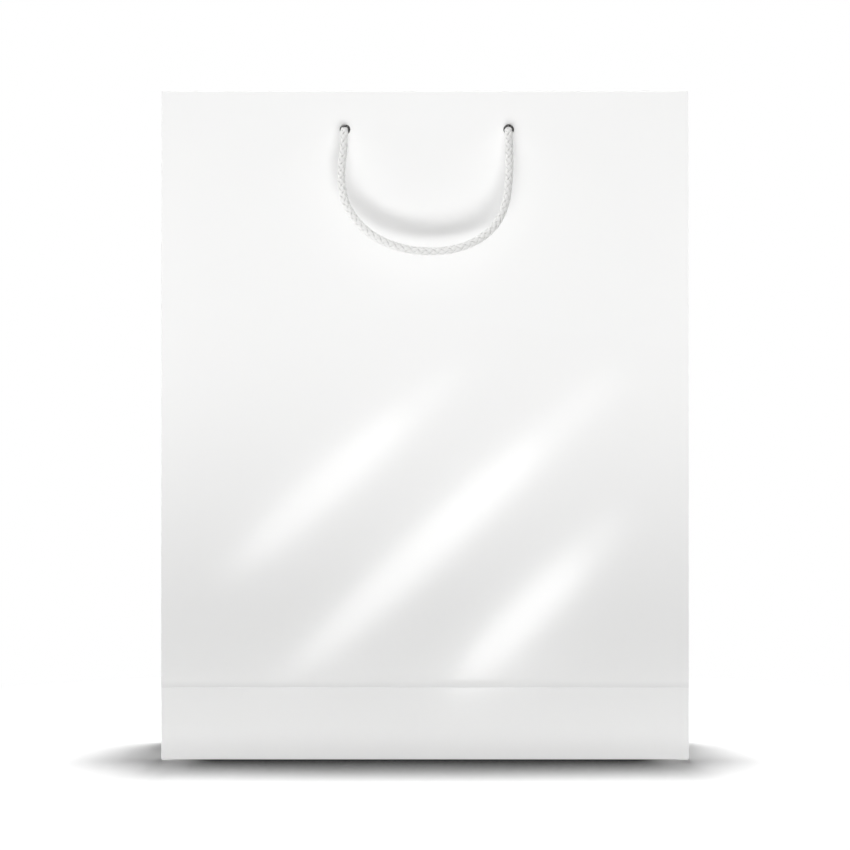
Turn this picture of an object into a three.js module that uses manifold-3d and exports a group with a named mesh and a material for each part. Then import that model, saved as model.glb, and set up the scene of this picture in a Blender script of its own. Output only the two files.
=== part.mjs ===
// A paper carrier bag with cord handles, standing open on its base.
// One folded sheet makes the walls, the turned-in hem and the glued base. Two rim cards stiffen
// the hem, a loose card lies on the base, and a knotted cord hangs on each wide panel.
// Millimetres, +Z up, origin at the middle of the base. The front panel faces -Y.

import * as THREE from "three";
import { mergeVertices } from "three/addons/utils/BufferGeometryUtils.js";
import Module from "manifold-3d";

// Driving dimensions

const bagWidth = 320;
const bagHeight = 406;
const bagDepth = 90; // at the base
const paperThickness = 0.25;

const rimDrawIn = 16; // how far each gusset's centre crease stands in at the rim
const apexDrawIn = 2; // and at its foot, where the diagonal creases of the base meet
const creaseDip = 0.3; // how far the flat-fold crease above the base is pressed in
const creaseReach = 2.5; // how far that dip reaches up and down
const wallSteps = 10; // straight steps between that crease and the hem

const hemDepth = 47.2; // paper turned in at the rim
const rimCardThickness = 0.5;
const rimCardMargin = 3; // from the card to the edges of its hem
const glueLine = 0.1;

const flapOverlap = 20; // how far the outer base flap reaches past the middle
const seamWidth = 20; // glued side seam, inside the back panel

const baseCardThickness = 0.6;
const baseCardMargin = 1.5; // from the card to the walls

const holeSpacing = 99.4;
const holeOffset = 1.1; // the pair is punched a little to the right of the middle
const cordDiameter = 5;
const cordPlay = 1.5; // how much wider the hole is than the cord
const cordClearance = 0.33; // left between the cord and the edge of the hole that it rests on
const cordRestAngle = 48; // degrees below level, towards -X, where the cord rests in its hole

const knotLengthInCords = 3.4; // an overhand knot pulled tight, in cord diameters
const knotWidthInCords = 2.9;
const knotDropInCords = 0.56; // its turns lie mostly below the cord that runs into it
const knotGap = 0.3; // between a knot and the hem that it bears on
const tailLength = 13; // cord left beyond its knot
const tailDroop = 40; // degrees below level

const cordSides = 10;
const cordSteps = 48;
const tailSteps = 4;
const holeSides = 32;
const knotSides = 20;
const shoulderSteps = 3;

// Sizes that follow from them

const halfWidth = bagWidth / 2;
const halfDepth = bagDepth / 2; // also each gusset's half width, which folding can't change
const creaseHeight = halfDepth; // a base that folds flat needs its crease half a depth up
const baseBottom = paperThickness; // the outer flap lies below the rest of the base
const baseTop = baseBottom + 2 * paperThickness;
const hemBottom = bagHeight - hemDepth;
const pocketDepth = rimCardThickness + 2 * glueLine;
const hemStack = 2 * paperThickness + pocketDepth; // panel, card and hem
const holeHeight = bagHeight - hemDepth / 2;
const holeDiameter = cordDiameter + cordPlay;
const cordRest = cordPlay / 2 - cordClearance;
const cordRestAcross = -cordRest * Math.cos(THREE.MathUtils.degToRad(cordRestAngle));
const cordRestDrop = cordRest * Math.sin(THREE.MathUtils.degToRad(cordRestAngle));
const punchLength = 2 * bagDepth; // passes both wide panels
const knotLength = knotLengthInCords * cordDiameter;
const knotRadius = (knotWidthInCords * cordDiameter) / 2;
const knotDrop = knotDropInCords * cordDiameter;
const sides = [
  { side: "front", sign: -1 },
  { side: "back", sign: 1 },
];
const ends = [
  { hand: "left", end: -1 },
  { hand: "right", end: 1 },
];

// The route of a handle outside its panel, from hole to hole: across from the middle of the two
// holes, out from the panel's face, and down from the holes' centres
const routeSpacing = 99.4; // the hole spacing that the points were chosen for
const route = [
  [-50.0, 2.6, 0.8],
  [-50.0, 5.0, 2.0],
  [-50.05, 7.0, 4.1],
  [-50.1, 8.3, 6.9],
  [-50.15, 9.2, 10.3],
  [-50.35, 10.0, 14.1],
  [-50.8, 11.0, 18.3],
  [-51.3, 12.5, 23.5],
  [-51.5, 14.5, 29.8],
  [-50.9, 16.7, 37.0],
  [-49.2, 18.7, 44.5],
  [-46.0, 20.2, 51.5],
  [-41.5, 21.3, 57.8],
  [-35.8, 22.1, 63.4],
  [-28.7, 22.8, 68.2],
  [-20.2, 23.1, 72.0],
  [-10.2, 23.3, 74.6],
  [0.7, 23.4, 75.6],
  [11.4, 23.3, 75.0],
  [21.2, 23.0, 72.8],
  [29.6, 22.6, 69.2],
  [36.4, 22.0, 64.5],
  [41.6, 21.2, 58.8],
  [45.3, 20.1, 52.0],
  [47.7, 18.5, 44.3],
  [49.0, 16.3, 36.0],
  [49.6, 14.0, 28.2],
  [49.8, 12.1, 22.0],
  [49.8, 10.8, 17.5],
  [49.75, 9.9, 13.8],
  [49.7, 9.2, 10.3],
  [49.65, 8.3, 6.9],
  [49.55, 7.0, 4.1],
  [49.45, 5.0, 2.0],
  [49.4, 2.6, 0.8],
];

// Materials

const finish = (color, roughness) => new THREE.MeshStandardMaterial({ color, roughness, metalness: 0 });
const laminatedPaper = finish(0xf2f2f1, 0.3);
const cardboard = finish(0xdedbd4, 0.9);
const whiteCord = finish(0xe9e8e5, 0.8);

// Joining and cutting

const wasm = await Module();
wasm.setup();

function solidOf(geometry) {
  const bare = geometry.clone();
  bare.deleteAttribute("normal");
  bare.deleteAttribute("uv");
  const merged = mergeVertices(bare);
  return new wasm.Manifold(
    new wasm.Mesh({
      numProp: 3,
      vertProperties: merged.attributes.position.array,
      triVerts: new Uint32Array(merged.index.array),
    }),
  );
}

function geometryOf(solid) {
  const { vertProperties, triVerts } = solid.getMesh();
  const geometry = new THREE.BufferGeometry();
  geometry.setAttribute("position", new THREE.BufferAttribute(vertProperties, 3));
  geometry.setIndex(new THREE.BufferAttribute(triVerts, 1));
  geometry.computeVertexNormals();
  return geometry;
}

// A closed solid through rings of points, each drawn anticlockwise seen from above, lowest first.
// Each face is split on the diagonal that climbs from its outer edge, as a gusset's base folds.
function loft(rings) {
  const count = rings[0].length;
  const index = [];
  for (let level = 0; level + 1 < rings.length; level++) {
    for (let i = 0; i < count; i++) {
      const next = (i + 1) % count;
      const [a, b] = [level * count + i, level * count + next];
      const [c, d] = [b + count, a + count];
      const climbsFromA = Math.abs(rings[level][i].x) >= Math.abs(rings[level][next].x);
      index.push(...(climbsFromA ? [a, b, c, a, c, d] : [a, b, d, b, c, d]));
    }
  }
  const last = (rings.length - 1) * count;
  const cap = (ring) => THREE.ShapeUtils.triangulateShape(ring.map((p) => new THREE.Vector2(p.x, p.y)), []);
  cap(rings[0]).forEach(([a, b, c]) => index.push(a, c, b));
  cap(rings.at(-1)).forEach(([a, b, c]) => index.push(last + a, last + b, last + c));
  return new THREE.BufferGeometry().setFromPoints(rings.flat()).setIndex(index);
}

// The shape of the standing bag

// Heights where the walls bend: the base, the crease with its dip, even steps, the hem and the rim
const wallHeights = [
  0,
  creaseHeight - creaseReach,
  creaseHeight,
  ...Array.from({ length: wallSteps }, (_, i) => {
    const start = creaseHeight + creaseReach;
    return start + ((hemBottom - start) * i) / wallSteps;
  }),
  hemBottom,
  bagHeight,
];

// The middle of a gusset stands in on one straight line up to the crease and on another up to
// the rim, and the half depth follows from that
const wallBends = wallHeights.map((z) => {
  const up = (z - creaseHeight) / (bagHeight - creaseHeight);
  const below = (apexDrawIn * z) / creaseHeight;
  const drawIn = up < 0 ? below : apexDrawIn + (rimDrawIn - apexDrawIn) * up;
  const depth = Math.sqrt(halfDepth ** 2 - drawIn ** 2);
  const dip = z === creaseHeight ? creaseDip : 0;
  return { z, drawIn, depth, dip };
});

// The wall at any height, straight between its bends and straight on above the rim
function wallAt(z) {
  const upper = wallBends.findIndex((bend, i) => i > 0 && (z <= bend.z || i === wallBends.length - 1));
  const [low, high] = [wallBends[upper - 1], wallBends[upper]];
  const share = (z - low.z) / (high.z - low.z);
  const between = (key) => low[key] + (high[key] - low[key]) * share;
  return { drawIn: between("drawIn"), depth: between("depth"), dip: between("dip") };
}

// The bag's outline at a height, set in from the outside of the wide panels and of the gussets
function outlineAt(z, panelInset, gussetInset) {
  const { drawIn, depth, dip } = wallAt(z);
  const panel = panelInset + dip;
  const gusset = gussetInset + dip;
  const slope = Math.hypot(depth, drawIn);
  const alongGusset = panel + (gusset * drawIn) / slope;
  const cornerX = halfWidth - (gusset * depth) / slope - (alongGusset * drawIn) / depth;
  const middleX = halfWidth - drawIn - (gusset * slope) / depth;
  const panelY = depth - panel;
  return [
    new THREE.Vector3(-cornerX, -panelY, z),
    new THREE.Vector3(cornerX, -panelY, z),
    new THREE.Vector3(middleX, 0, z),
    new THREE.Vector3(cornerX, panelY, z),
    new THREE.Vector3(-cornerX, panelY, z),
    new THREE.Vector3(-middleX, 0, z),
  ];
}

function heightsBetween(low, high) {
  return [low, ...wallHeights.filter((z) => z > low && z < high), high];
}

function wallSolid(low, high, panelInset, gussetInset) {
  return solidOf(loft(heightsBetween(low, high).map((z) => outlineAt(z, panelInset, gussetInset))));
}

// A layer on the inside of a wide panel, between two insets from the panel's outside
function panelLayer(sign, fromX, toX, low, high, outerInset, innerInset) {
  const rings = heightsBetween(low, high).map((z) => {
    const { depth, dip } = wallAt(z);
    const ys = [outerInset, innerInset].map((inset) => sign * (depth - dip - inset)).sort((a, b) => a - b);
    return [
      new THREE.Vector3(fromX, ys[0], z),
      new THREE.Vector3(toX, ys[0], z),
      new THREE.Vector3(toX, ys[1], z),
      new THREE.Vector3(fromX, ys[1], z),
    ];
  });
  return solidOf(loft(rings));
}

// Both handle holes, punched through both wide panels at once
function punchHoles(solid) {
  const radius = holeDiameter / 2;
  let punched = solid;
  for (const { end } of ends) {
    const punch = new THREE.CylinderGeometry(radius, radius, punchLength, holeSides);
    punch.translate(holeOffset + (end * holeSpacing) / 2, 0, holeHeight);
    punched = punched.subtract(solidOf(punch));
  }
  return punched;
}

// The folded sheet

// The last flap glued down under the base, with its ends folded in at 45 degrees
function outerFlap() {
  const reach = halfDepth + flapOverlap;
  const outline = new THREE.Shape([
    new THREE.Vector2(-halfWidth, halfDepth),
    new THREE.Vector2(-halfWidth + reach, halfDepth - reach),
    new THREE.Vector2(halfWidth - reach, halfDepth - reach),
    new THREE.Vector2(halfWidth, halfDepth),
  ]);
  const depth = (baseBottom + baseTop) / 2; // the glued layers are one body
  return solidOf(new THREE.ExtrudeGeometry(outline, { depth, bevelEnabled: false }));
}

function sideSeam() {
  const fromX = -halfWidth + paperThickness;
  const glued = paperThickness / 2; // the glued layers are one body
  return panelLayer(1, fromX, fromX + seamWidth, baseBottom, bagHeight - glueLine, glued, 2 * paperThickness);
}

function rimPocket(sign) {
  const reach = halfWidth - rimCardMargin + glueLine;
  const low = hemBottom + rimCardMargin - glueLine;
  const high = bagHeight - rimCardMargin + glueLine;
  return panelLayer(sign, -reach, reach, low, high, paperThickness, paperThickness + pocketDepth);
}

function foldedSheet() {
  const hollow = wallSolid(baseTop, hemBottom, paperThickness, paperThickness);
  const mouth = wallSolid(hemBottom - glueLine, bagHeight + glueLine, hemStack, 2 * paperThickness);
  let sheet = wallSolid(baseBottom, bagHeight, 0, 0).subtract(hollow);
  sheet = sheet.add(sideSeam()).subtract(mouth).add(outerFlap());
  for (const { sign } of sides) sheet = sheet.subtract(rimPocket(sign));
  return geometryOf(punchHoles(sheet));
}

// The cards

function rimCard(sign) {
  const reach = halfWidth - rimCardMargin;
  const outer = paperThickness + glueLine;
  const low = hemBottom + rimCardMargin;
  const high = bagHeight - rimCardMargin;
  return geometryOf(punchHoles(panelLayer(sign, -reach, reach, low, high, outer, outer + rimCardThickness)));
}

function baseCard() {
  const allRound = 2 * (2 * paperThickness + baseCardMargin); // walls, seam and margin
  return new THREE.BoxGeometry(bagWidth - allRound, bagDepth - allRound, baseCardThickness);
}

// The handles

const faceDepth = wallAt(holeHeight).depth; // from the middle of the bag to a panel at its holes

// A point of a handle in the bag's frame, from across, out and drop
function handlePoint(sign, across, out, drop) {
  return new THREE.Vector3(holeOffset + across, sign * (faceDepth + out), holeHeight - drop);
}

// The cord's axis where it rests in a hole
function inHole(sign, end, out) {
  return handlePoint(sign, (end * holeSpacing) / 2 + cordRestAcross, out, cordRestDrop);
}

function cordAlong(points, steps) {
  const around = new THREE.EllipseCurve(0, 0, cordDiameter / 2, cordDiameter / 2).getPoints(cordSides);
  const section = new THREE.Shape(around.slice(0, cordSides));
  return new THREE.ExtrudeGeometry(section, { steps, extrudePath: new THREE.CatmullRomCurve3(points) });
}

function handleCord(sign) {
  const stretch = holeSpacing / routeSpacing;
  const outside = route.map(([across, out, drop]) => handlePoint(sign, across * stretch, out, drop));
  const intoLeft = [inHole(sign, -1, -hemStack), inHole(sign, -1, 0)];
  const intoRight = [inHole(sign, 1, 0), inHole(sign, 1, -hemStack)];
  return cordAlong([...intoLeft, ...outside, ...intoRight], cordSteps);
}

// The outer form of the overhand knot that stops a cord's end, with its drooping tail.
// It starts at the origin and lies along +Y.
function knot() {
  const shoulder = cordDiameter; // how round the turns leave the ends of the knot
  const flat = knotRadius - shoulder;
  const profile = new THREE.Path();
  profile.moveTo(0, 0);
  profile.lineTo(flat, 0);
  profile.absarc(flat, shoulder, shoulder, -Math.PI / 2, 0);
  profile.absarc(flat, knotLength - shoulder, shoulder, 0, Math.PI / 2);
  profile.lineTo(0, knotLength);
  const turns = new THREE.LatheGeometry(profile.getPoints(shoulderSteps), knotSides);
  turns.translate(0, 0, -knotDrop);
  const droop = THREE.MathUtils.degToRad(tailDroop);
  const leave = new THREE.Vector3(0, knotLength, 0);
  const along = new THREE.Vector3(0, Math.cos(droop), -Math.sin(droop));
  const tip = leave.clone().addScaledVector(along, tailLength);
  const tail = cordAlong([new THREE.Vector3(0, knotLength / 2, 0), leave, tip], tailSteps);
  return geometryOf(solidOf(turns).add(solidOf(tail)));
}

// The assembly

const bag = new THREE.Group();

function addPiece(name, geometry, material) {
  const piece = new THREE.Mesh(geometry, material);
  piece.name = name;
  bag.add(piece);
  return piece;
}

addPiece("paper_body", foldedSheet(), laminatedPaper);
addPiece("base_card", baseCard(), cardboard).position.z = baseTop + baseCardThickness / 2;
for (const { side, sign } of sides) {
  addPiece(`${side}_rim_card`, rimCard(sign), cardboard);
  addPiece(`${side}_handle_cord`, handleCord(sign), whiteCord);
  for (const { hand, end } of ends) {
    const stopper = addPiece(`${side}_${hand}_knot`, knot(), whiteCord);
    stopper.position.copy(inHole(sign, end, -(hemStack + knotGap)));
    stopper.rotation.z = sign < 0 ? 0 : Math.PI;
  }
}

export default bag;
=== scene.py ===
# %% [markdown]
# # A white paper carrier bag
# The real bag is one sheet of laminated paper, folded round a block, glued down one corner and across the
# base, turned in at the rim over a strip of card, and punched for two cord handles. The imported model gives
# every piece's place in metres, so each surface is worked out where it belongs.

import math

import bpy
import numpy as np
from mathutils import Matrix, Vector


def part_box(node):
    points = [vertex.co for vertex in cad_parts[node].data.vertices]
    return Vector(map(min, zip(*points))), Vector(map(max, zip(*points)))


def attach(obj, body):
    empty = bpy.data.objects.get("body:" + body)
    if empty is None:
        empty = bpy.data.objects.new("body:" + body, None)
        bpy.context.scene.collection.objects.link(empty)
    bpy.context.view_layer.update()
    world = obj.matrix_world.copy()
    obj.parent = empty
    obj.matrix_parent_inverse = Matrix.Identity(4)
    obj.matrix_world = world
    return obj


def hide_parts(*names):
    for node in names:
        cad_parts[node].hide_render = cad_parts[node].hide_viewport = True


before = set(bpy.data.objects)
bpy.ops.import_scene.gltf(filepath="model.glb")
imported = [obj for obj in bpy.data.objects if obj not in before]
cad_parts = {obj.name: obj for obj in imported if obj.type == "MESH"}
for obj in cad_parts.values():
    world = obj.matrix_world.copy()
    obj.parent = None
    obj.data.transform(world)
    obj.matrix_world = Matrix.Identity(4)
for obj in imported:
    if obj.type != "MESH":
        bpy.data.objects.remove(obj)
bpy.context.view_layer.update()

# %% [markdown]
# ## Camera
# The photograph looks square at the front panel and shows no sides, so the camera stands far off, level
# with the panel's middle. The lens follows from the panel's width in the picture and its real width.

# %% Camera
MM = 0.001
body_low, body_high = (np.array(corner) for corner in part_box("paper_body"))
bag_width, bag_depth, bag_height = body_high - body_low
half_width = bag_width / 2
half_depth = bag_depth / 2

picture_pixels = 850
panel_pixels = 528
camera_distance = 1.5
camera_lens = bpy.data.cameras.new("camera")
camera_lens.sensor_width = 36
camera_lens.lens = camera_lens.sensor_width * panel_pixels / picture_pixels * camera_distance / bag_width
camera = bpy.data.objects.new("camera", camera_lens)
camera.location = (0, -half_depth - camera_distance, bag_height / 2)
camera.rotation_euler = (math.pi / 2, 0, 0)
bpy.context.scene.collection.objects.link(camera)
bpy.context.scene.camera = camera
print(f"bag {bag_width:.3f} x {bag_depth:.3f} x {bag_height:.3f} m, lens {camera_lens.lens:.1f} mm")

# %% [markdown]
# ## Walls, as one rule
# Opened out, the side gussets still stand in a little: 2 mm where the folds of the base meet and 16 mm at
# the rim. A gusset's half width can't change, so there the wide panels come closer together. Everything
# else, the cord's holes too, is placed from this rule.

# %% How far the gussets stand in and how far apart the panels are
crease_height = half_depth
apex_draw_in = 2 * MM
rim_draw_in = 16 * MM


def gusset_draw_in(height):
    """Zero at the base, straight up to the apex value at the crease, then straight to the rim value."""
    return np.interp(height, [0, crease_height, bag_height], [0, apex_draw_in, rim_draw_in])


def panel_depth(height):
    """Half the distance between the wide panels: the other side of a right triangle whose longest
    side is the gusset's half width and whose short side is how far its middle stands in."""
    return np.sqrt(half_depth**2 - gusset_draw_in(height) ** 2)


print(f"panels {2 * panel_depth(bag_height) / MM:.1f} mm apart at the rim")

# %% [markdown]
# ## The cord's route
# A handle leaves one hole, bends down under its own weight, hangs in a loop and goes into the other
# hole. A curve object would do, but a braid needs the line itself, so the route is a list of points,
# made smooth and then cut into even steps.

# %% Where a handle runs
hem_depth = 47.2 * MM
hem_stack = 1.2 * MM
hole_spacing = 99.4 * MM
hole_offset = 1.1 * MM
hole_height = bag_height - hem_depth / 2
face_depth = panel_depth(hole_height)
cord_rest_across = -0.9 * MM
cord_rest_drop = 0.95 * MM

# across from the middle of the two holes, out from the panel's face, down from the holes' centres
route = MM * np.array([
    [-50.0, 2.6, 0.8], [-50.0, 5.0, 2.0], [-50.05, 7.0, 4.1], [-50.1, 8.3, 6.9], [-50.15, 9.2, 10.3],
    [-50.35, 10.0, 14.1], [-50.8, 11.0, 18.3], [-51.3, 12.5, 23.5], [-51.5, 14.5, 29.8],
    [-50.9, 16.7, 37.0], [-49.2, 18.7, 44.5], [-46.0, 20.2, 51.5], [-41.5, 21.3, 57.8],
    [-35.8, 22.1, 63.4], [-28.7, 22.8, 68.2], [-20.2, 23.1, 72.0], [-10.2, 23.3, 74.6],
    [0.7, 23.4, 75.6], [11.4, 23.3, 75.0], [21.2, 23.0, 72.8], [29.6, 22.6, 69.2],
    [36.4, 22.0, 64.5], [41.6, 21.2, 58.8], [45.3, 20.1, 52.0], [47.7, 18.5, 44.3],
    [49.0, 16.3, 36.0], [49.6, 14.0, 28.2], [49.8, 12.1, 22.0], [49.8, 10.8, 17.5],
    [49.75, 9.9, 13.8], [49.7, 9.2, 10.3], [49.65, 8.3, 6.9], [49.55, 7.0, 4.1],
    [49.45, 5.0, 2.0], [49.4, 2.6, 0.8],
])


def in_hole(end, out):
    """Where the cord rests in a hole (end is -1 or 1), at a distance out from the panel's face."""
    return [end * hole_spacing / 2 + cord_rest_across, out, cord_rest_drop]


def step_lengths(line):
    """The length of each step of a line."""
    return np.linalg.norm(np.diff(line, axis=0), axis=1)


def length_along(line):
    """The length of a line up to each of its points."""
    return np.concatenate([[0], np.cumsum(step_lengths(line))])


def even_steps(line, spacing):
    """The same line cut into steps of nearly that length, by interpolating along its own length."""
    length = length_along(line)
    even = np.linspace(0, length[-1], int(round(length[-1] / spacing)) + 1)
    return np.stack([np.interp(even, length, line[:, axis]) for axis in range(3)], axis=1)


def smooth_line(points, spacing, per_stretch=40):
    """A smooth line through the points, in even steps. Each stretch is the cubic that meets its two
    ends with slopes worked out from the points beside them, weighted by the square roots of the
    distances between them."""
    padded = np.vstack([2 * points[:1] - points[1:2], points, 2 * points[-1:] - points[-2:-1]])
    gap = np.sqrt(step_lengths(padded))[:, None]
    rate = np.diff(padded, axis=0) / gap
    slope = rate[:-1] + rate[1:] - (padded[2:] - padded[:-2]) / (gap[:-1] + gap[1:])
    leave = slope[:-1] * gap[1:-1]
    arrive = slope[1:] * gap[1:-1]
    t = np.linspace(0, 1, per_stretch, endpoint=False)[None, :, None]
    start = points[:-1, None]
    finish = points[1:, None]
    stretch = start + (finish - start) * (3 * t**2 - 2 * t**3)
    stretch = stretch + leave[:, None] * (t**3 - 2 * t**2 + t) + arrive[:, None] * (t**3 - t**2)
    return even_steps(np.vstack([stretch.reshape(-1, 3), points[-1:]]), spacing)


braid_step = 0.42 * MM


def handle_line(sign):
    """The line of a whole handle: sign is -1 on the front panel and 1 on the back one."""
    into_left = [in_hole(-1, -hem_stack), in_hole(-1, 0)]
    into_right = [in_hole(1, 0), in_hole(1, -hem_stack)]
    across, out, drop = np.vstack([into_left, route, into_right]).T
    points = np.stack([hole_offset + across, sign * (face_depth + out), hole_height - drop], axis=1)
    return smooth_line(points, braid_step)


handle_lines = {"front": handle_line(-1), "back": handle_line(1)}

# %% [markdown]
# ## The knots
# Behind each hole an overhand knot stops the cord. Drawn by hand it looks loose or cuts through itself, so
# it is tied by calculation: a wide trefoil is pulled shorter in small steps, points closer than one cord
# thickness push each other away, and it stops when the turns press on each other and the line stretches.

# %% Tie an overhand knot
# how much of a fault one pass mends: cord in cord, a bend that is too sharp, an uneven curve
push_share = 0.3
open_share = 0.25
smooth_share = 0.05
# the tightest bend, in cord thicknesses, and the most that the line turns in a step, in radians
bend_radius = 0.6
most_turn = 1.4
first_rounds = 20


def pull_tight(line, thickness, rounds=600, passes=16, shorten=0.9985, most_stretch=0.03):
    """Shortens a line with fixed ends until it is tight. Each pass pushes apart points that lie closer
    than the thickness, opens bends that are too sharp, smooths a little, and sets the steps even."""
    count = len(line)
    step = step_lengths(line).mean()
    first, second = np.triu_indices(count, k=2)
    free = np.ones((count, 1))
    free[[0, -1]] = 0
    for turn in range(rounds):
        step *= shorten
        far = (second - first) * step > np.pi / 2 * thickness
        one, other = first[far], second[far]
        least_chord = 2 * step * np.cos(min(step / (bend_radius * thickness), most_turn) / 2)
        for _ in range(passes):
            gap = line[one] - line[other]
            distance = np.linalg.norm(gap, axis=1)
            near = distance < thickness
            push = gap[near] * (push_share * (thickness - distance[near]) / distance[near])[:, None]
            moved = np.zeros_like(line)
            np.add.at(moved, one[near], push)
            np.add.at(moved, other[near], -push)
            chord = line[2:] - line[:-2]
            reach = np.linalg.norm(chord, axis=1)
            open_up = chord * (np.maximum(least_chord - reach, 0) / reach * open_share)[:, None]
            moved[2:] += open_up
            moved[:-2] -= open_up
            moved[1:-1] += smooth_share * ((line[2:] + line[:-2]) / 2 - line[1:-1])
            line = line + moved * free
            for start in (0, 1):
                link = line[start + 1::2] - line[start:-1:2]
                reach = np.linalg.norm(link, axis=1)
                pull = link * ((reach - step) / reach / 2)[:, None]
                line[start:-1:2] += pull * free[start:-1:2]
                line[start + 1::2] -= pull * free[start + 1::2]
        stretch = step_lengths(line).mean() / step - 1
        if stretch > most_stretch and turn > first_rounds:
            break
    return line


cord_diameter = 5 * MM
trefoil_end = 2.12
trefoil_points = 2000
trefoil_size = 0.64 * cord_diameter
trefoil_flatness = 0.9
lead_ends = cord_diameter * np.array([[-9, 0, -2], [9, 0, -2]])
knot_steps = 95


def overhand_line():
    """A tight overhand knot about the origin: columns are along the cord, across it, and up. It starts
    from the trefoil (t^3 - 3t, t^4 - 4t^2, t^5/5 - 2t) with straight leads out to two fixed ends."""
    t = np.linspace(-trefoil_end, trefoil_end, trefoil_points)
    trefoil = [t**3 - 3 * t, trefoil_flatness * (t**4 - 4 * t**2), 0.2 * t**5 - 2 * t]
    wide = trefoil_size * np.stack(trefoil, axis=1)
    along = (wide[-1] - wide[0]) * [1, 0, 1]
    along /= np.linalg.norm(along)
    across = np.cross(along, [0, 1, 0])
    wide = np.stack([wide @ along, wide @ across, wide[:, 1]], axis=1)
    wide -= (wide.max(axis=0) + wide.min(axis=0)) / 2
    whole = np.vstack([lead_ends[:1], wide, lead_ends[1:]])
    return pull_tight(even_steps(whole, step_lengths(whole).sum() / knot_steps), cord_diameter)


knot_line = overhand_line()
print("points in the knot's line:", len(knot_line), "reach", np.ptp(knot_line, axis=0) / MM)

# %% [markdown]
# ## A braid along any line
# The handle cord is braided: four strands wind one way, four the other way, and each passes over one
# and under the next. A bump map could suggest that, but the strands break the cord's outline and shade
# each other, so they are modelled, round a plain core. A hole squeezes the soft cord, which swells again
# a little further on.

# %% Directions across a line, and the tubes of a braid
def unit(vectors):
    """The same directions with a length of one."""
    return vectors / np.linalg.norm(vectors, axis=-1, keepdims=True)


def across_line(line):
    """Two directions across a line at each point that don't twist: a side is taken from one fixed
    direction, and the turn that this adds from point to point is taken out."""
    along = unit(np.gradient(line, axis=0))
    tries = unit(np.array([[1, 0, 0], [0, 1, 0], [0, 0, 1], [1, 1, 1], [-1, 1, 1], [1, -1, 1], [1, 1, -1]]))
    clearest = tries[np.abs(tries @ along.T).max(axis=1).argmin()]
    side = unit(clearest - (along @ clearest)[:, None] * along)
    carried = side[:-1] - np.sum(side[:-1] * along[1:], axis=1, keepdims=True) * along[1:]
    turned = np.sum(np.cross(carried, side[1:]) * along[1:], axis=1)
    turn = np.arctan2(turned, np.sum(carried * side[1:], axis=1))
    back = -np.concatenate([[0], np.cumsum(turn)])[:, None]
    side = np.cos(back) * side + np.sin(back) * np.cross(along, side)
    return side, np.cross(along, side)


strands_each_way = 4
strand_count = 2 * strands_each_way
braid_pitch = 19 * MM
braid_radius = 1.66 * MM
strand_rise = 0.4 * MM
strand_half_width = 1.08 * MM
strand_half_height = 0.44 * MM
core_radius = 1.2 * MM
core_lift = -1.0
tube_sides = 10
squeezed = 0.77
swell_length = 7 * MM


def girth(from_hole):
    """How thick the cord is, as a share of its full thickness, at a distance from the hole."""
    share = np.clip(from_hole / swell_length, 0, 1)
    return squeezed + (1 - squeezed) * (3 * share**2 - 2 * share**3)


def braid_tubes(line, thick):
    """Rings of points round every strand and the core, and how high each ring lies in the weave. Strand k
    of a family stands at the angle k/4 of a turn plus or minus the length over the pitch, and its distance
    from the line rises and falls as a cosine: over one strand of the other family, then under one."""
    side, up = across_line(line)
    turns = length_along(line) / braid_pitch
    hand = np.array([1, -1])[:, None, None]
    strand = np.arange(strands_each_way)[None, :, None]
    angle = 2 * np.pi * (strand / strands_each_way + hand * turns)
    crossing = 2 * strand + hand * strand_count * turns
    lift = hand * np.cos(np.pi * crossing)
    outward = np.cos(angle)[..., None] * side + np.sin(angle)[..., None] * up
    middle = line + (thick * (braid_radius + strand_rise * lift))[..., None] * outward
    heading = unit(np.gradient(middle, axis=2))
    across = unit(np.cross(outward, heading))
    outward = np.cross(heading, across)
    ring = np.linspace(0, 2 * np.pi, tube_sides, endpoint=False)[:, None]
    offset = strand_half_width * np.cos(ring) * across[..., None, :]
    offset = offset + strand_half_height * np.sin(ring) * outward[..., None, :]
    strands = middle[..., None, :] + thick[:, None, None] * offset
    spoke = np.cos(ring) * side[:, None] + np.sin(ring) * up[:, None]
    core = line[:, None] + core_radius * thick[:, None, None] * spoke
    tubes = np.concatenate([strands.reshape(strand_count, *core.shape), core[None]])
    return tubes, np.vstack([lift.reshape(strand_count, -1), np.full(len(line), core_lift)])


print("strands in the braid:", strand_count)

# %% [markdown]
# ## From arrays to a mesh
# A grid of points becomes quads by numbering the points row by row, for one grid or for many equal ones at
# once. A UV map runs along and round each strand, so that the yarn's fine lines can follow it.

# %% Grids of faces and new objects
def point_grid(*shape):
    """The numbers of the points in a grid, row by row."""
    return np.arange(math.prod(shape)).reshape(shape)


def closed(grid):
    """A grid with its first column again after its last one, so that it goes all the way round."""
    return np.concatenate([grid, grid[..., :1]], axis=-1)


def grid_faces(grid):
    """The quads between neighbouring rows and columns of a grid of point numbers."""
    corners = [grid[..., :-1, :-1], grid[..., :-1, 1:], grid[..., 1:, 1:], grid[..., 1:, :-1]]
    return np.stack(corners, axis=-1).reshape(-1, 4)


def grid_uv(along, around):
    """The UV of every quad corner in a closed grid: along is a length for each row, around is 0 to 1."""
    uv = np.stack(np.meshgrid(along, np.arange(around + 1) / around, indexing="ij"), axis=-1)
    return uv.reshape(-1, 2)[grid_faces(point_grid(*uv.shape[:2]))].reshape(-1, 2)


def tube_faces(grids):
    """The faces of equal tubes: all their quads, then the caps at their starts and at their ends."""
    quads = grid_faces(closed(grids))
    return [*quads.tolist(), *grids[:, 0, ::-1].tolist(), *grids[:, -1].tolist()]


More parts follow.
